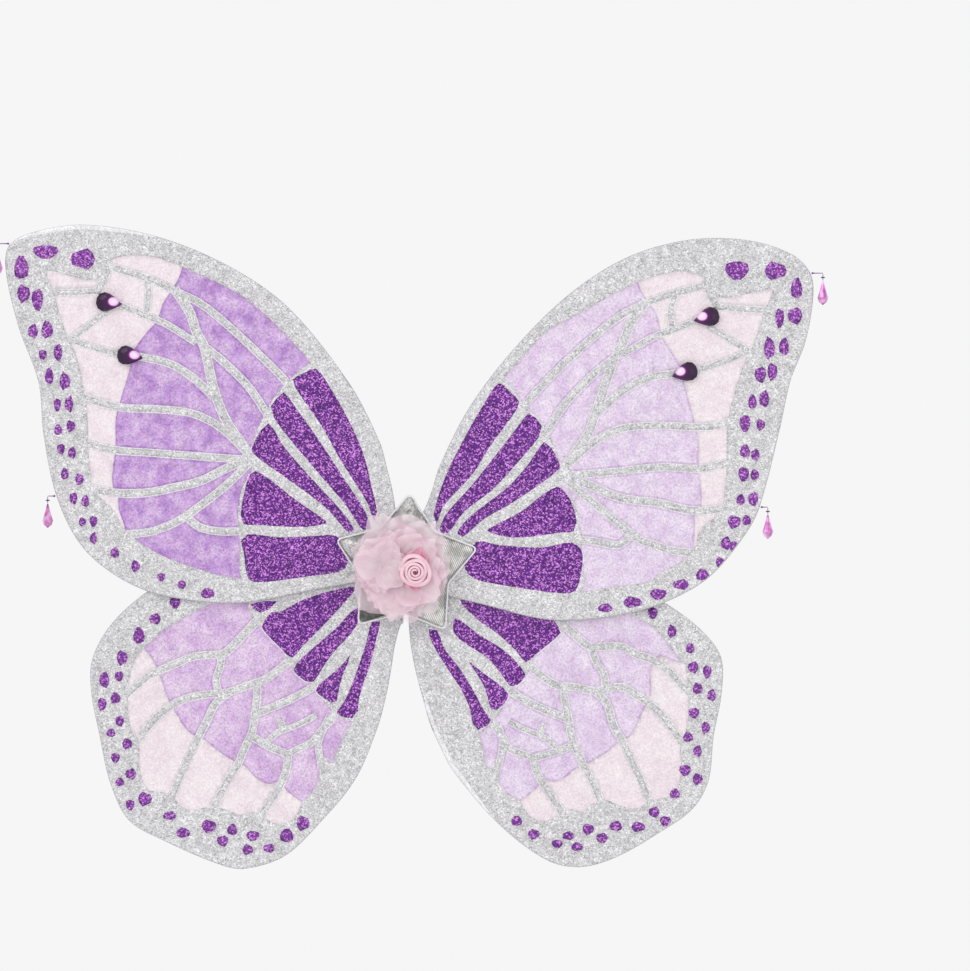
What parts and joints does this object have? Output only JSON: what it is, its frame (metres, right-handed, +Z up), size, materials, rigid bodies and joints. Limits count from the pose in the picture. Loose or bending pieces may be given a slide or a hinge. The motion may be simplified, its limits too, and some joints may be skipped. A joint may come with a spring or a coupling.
{
  "type": "fairy wings",
  "caption": "Costume fairy wings: wire-framed glitter-printed nylon panels, silver star with tulle flower, teardrop gems, hanging beads and elastic arm loops on a back pad.",
  "frame": {"origin": "middle of the back pad's rear face, which rests on the wearer's back", "axes": "+Z up, +Y out of the back pad's rear face towards the wearer, +X across the wings to the wearer's right; the decorated side faces -Y"},
  "size_m": [0.5681, 0.1046, 0.4384],
  "materials": {
    "printed_nylon": "white nylon with glitter print",
    "steel_wire": "white-coated steel wire",
    "gem_acrylic": "foil-backed faceted acrylic",
    "drop_acrylic": "pale pink-purple clear acrylic",
    "seed_glass": "dark glossy bead",
    "thread": "polyester thread",
    "silver_lame": "silver lame, metallic sheen",
    "wadding": "polyester wadding",
    "pink_tulle": "sheer gathered tulle",
    "satin_ribbon": "satin ribbon",
    "binding_ribbon": "wound ribbon",
    "felt": "white felt",
    "foam": "soft foam",
    "elastic": "woven elastic"
  },
  "bodies": {
    "root": {"binding_sleeve": "binding_ribbon", "wire_twist": "steel_wire", "pad_case": "felt", "pad_foam": "foam", "star_front_panel": "silver_lame", "star_rear_panel": "silver_lame", "star_wadding": "wadding", "tulle_back": "pink_tulle", "tulle_middle": "pink_tulle", "tulle_front": "pink_tulle", "ribbon_rose": "satin_ribbon", "strap_end_left_top": "elastic", "strap_end_left_bottom": "elastic", "strap_end_right_top": "elastic", "strap_end_right_bottom": "elastic"},
    "left_wings": {"upper_left_cover": "printed_nylon", "upper_left_wire": "steel_wire", "lower_left_cover": "printed_nylon", "lower_left_wire": "steel_wire", "gem_left_outer": "gem_acrylic", "gem_left_inner": "gem_acrylic", "charm_thread_tip_left": "thread", "charm_thread_hip_left": "thread"},
    "right_wings": {"upper_right_cover": "printed_nylon", "upper_right_wire": "steel_wire", "lower_right_cover": "printed_nylon", "lower_right_wire": "steel_wire", "gem_right_outer": "gem_acrylic", "gem_right_inner": "gem_acrylic", "charm_thread_tip_right": "thread", "charm_thread_hip_right": "thread"},
    "left_strap": {"left_strap": "elastic"},
    "right_strap": {"right_strap": "elastic"},
    "charm_tip_left": {"charm_link_tip_left": "thread", "seed_bead_tip_left": "seed_glass", "drop_bead_tip_left": "drop_acrylic"},
    "charm_hip_left": {"charm_link_hip_left": "thread", "seed_bead_hip_left": "seed_glass", "drop_bead_hip_left": "drop_acrylic"},
    "charm_tip_right": {"charm_link_tip_right": "thread", "seed_bead_tip_right": "seed_glass", "drop_bead_tip_right": "drop_acrylic"},
    "charm_hip_right": {"charm_link_hip_right": "thread", "seed_bead_hip_right": "seed_glass", "drop_bead_hip_right": "drop_acrylic"}
  },
  "joints": [
    {"name": "left_wing_fold", "type": "hinge", "parent": "root", "child": "left_wings", "pos_m": [-0.014, -0.008, 0], "axis": [0, 0, -1], "range_deg": [0, 30], "stiffness_Nm_per_rad": 0.3},
    {"name": "right_wing_fold", "type": "hinge", "parent": "root", "child": "right_wings", "pos_m": [0.014, -0.008, 0], "axis": [0, 0, 1], "range_deg": [0, 30], "stiffness_Nm_per_rad": 0.3},
    {"name": "left_strap_swing", "type": "hinge", "parent": "root", "child": "left_strap", "pos_m": [-0.008, 0.0065, 0], "axis": [0, 0, -1], "range_deg": [-12, 40], "stiffness_Nm_per_rad": 0.01},
    {"name": "right_strap_swing", "type": "hinge", "parent": "root", "child": "right_strap", "pos_m": [0.008, 0.0065, 0], "axis": [0, 0, 1], "range_deg": [-12, 40], "stiffness_Nm_per_rad": 0.01},
    {"name": "charm_swing_tip_left", "type": "hinge", "parent": "left_wings", "child": "charm_tip_left", "pos_m": [-0.27887, -0.01, 0.215], "axis": [1, 0, 0], "range_deg": [-80, 80]},
    {"name": "charm_swing_hip_left", "type": "hinge", "parent": "left_wings", "child": "charm_hip_left", "pos_m": [-0.24467, -0.01, 0.04355], "axis": [1, 0, 0], "range_deg": [-80, 80]},
    {"name": "charm_swing_tip_right", "type": "hinge", "parent": "right_wings", "child": "charm_tip_right", "pos_m": [0.28194, -0.01, 0.19494], "axis": [1, 0, 0], "range_deg": [-80, 80]},
    {"name": "charm_swing_hip_right", "type": "hinge", "parent": "right_wings", "child": "charm_hip_right", "pos_m": [0.24453, -0.01, 0.03602], "axis": [1, 0, 0], "range_deg": [-80, 80]}
  ]
}
